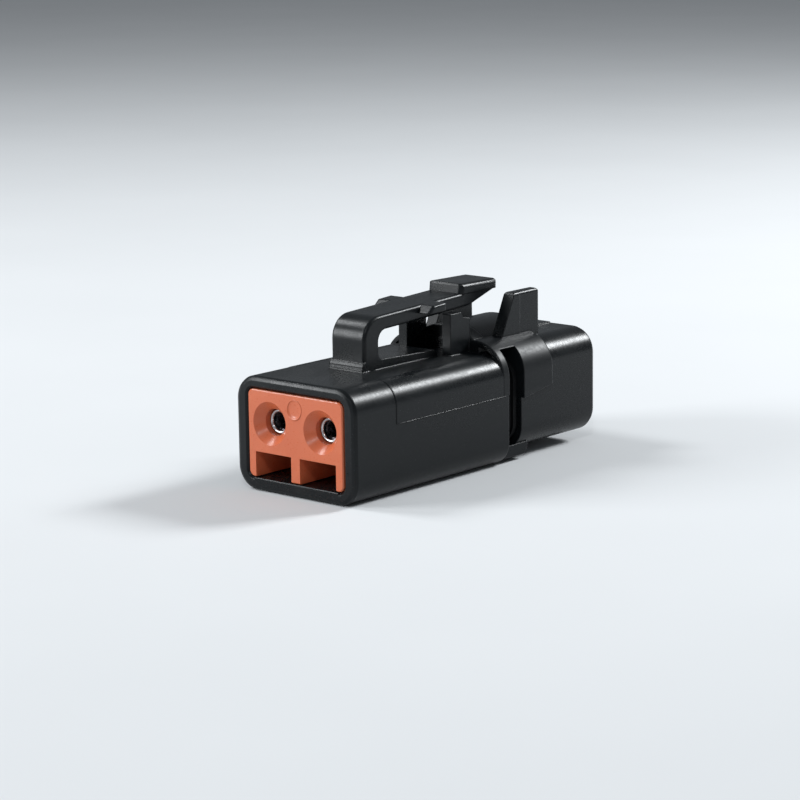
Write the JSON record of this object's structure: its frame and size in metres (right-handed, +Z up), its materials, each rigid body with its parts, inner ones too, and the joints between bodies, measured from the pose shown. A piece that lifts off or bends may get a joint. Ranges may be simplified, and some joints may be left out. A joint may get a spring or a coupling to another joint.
{
  "type": "sealed automotive connector plug",
  "caption": "Sealed rectangular wire-to-wire connector plug with a top latch, an orange wedge lock, round socket contacts and a rear wire seal.",
  "frame": {"origin": "middle of the bounding box in plan, at the height of the underside", "axes": "+Z up towards the latch, +Y from the mating face to the wire end, +X across the contacts"},
  "size_m": [0.02, 0.0488, 0.0233],
  "materials": {
    "shell_plastic": "semi-gloss moulded thermoplastic",
    "wedge_plastic": "satin moulded thermoplastic",
    "seal_rubber": "matte silicone rubber",
    "contact_metal": "bright nickel plate",
    "sleeve_steel": "bright stainless steel"
  },
  "bodies": {
    "plug": {"housing": "shell_plastic", "interface_seal": "seal_rubber", "wire_seal": "seal_rubber", "socket_body_left": "contact_metal", "socket_body_right": "contact_metal", "socket_sleeve_left": "sleeve_steel", "socket_sleeve_right": "sleeve_steel"},
    "latch": {"latch_arm": "shell_plastic"},
    "wedge": {"wedge_lock": "wedge_plastic"}
  },
  "joints": [
    {"name": "latch_press", "type": "hinge", "parent": "plug", "child": "latch", "pos_m": [0, -0.01295, 0.01615], "axis": [-1, 0, 0], "range_deg": [0, 6], "stiffness_Nm_per_rad": 0.8},
    {"name": "wedge_pull", "type": "slide", "parent": "plug", "child": "wedge", "axis": [0, -1, 0], "range_m": [0, 0.015]}
  ]
}
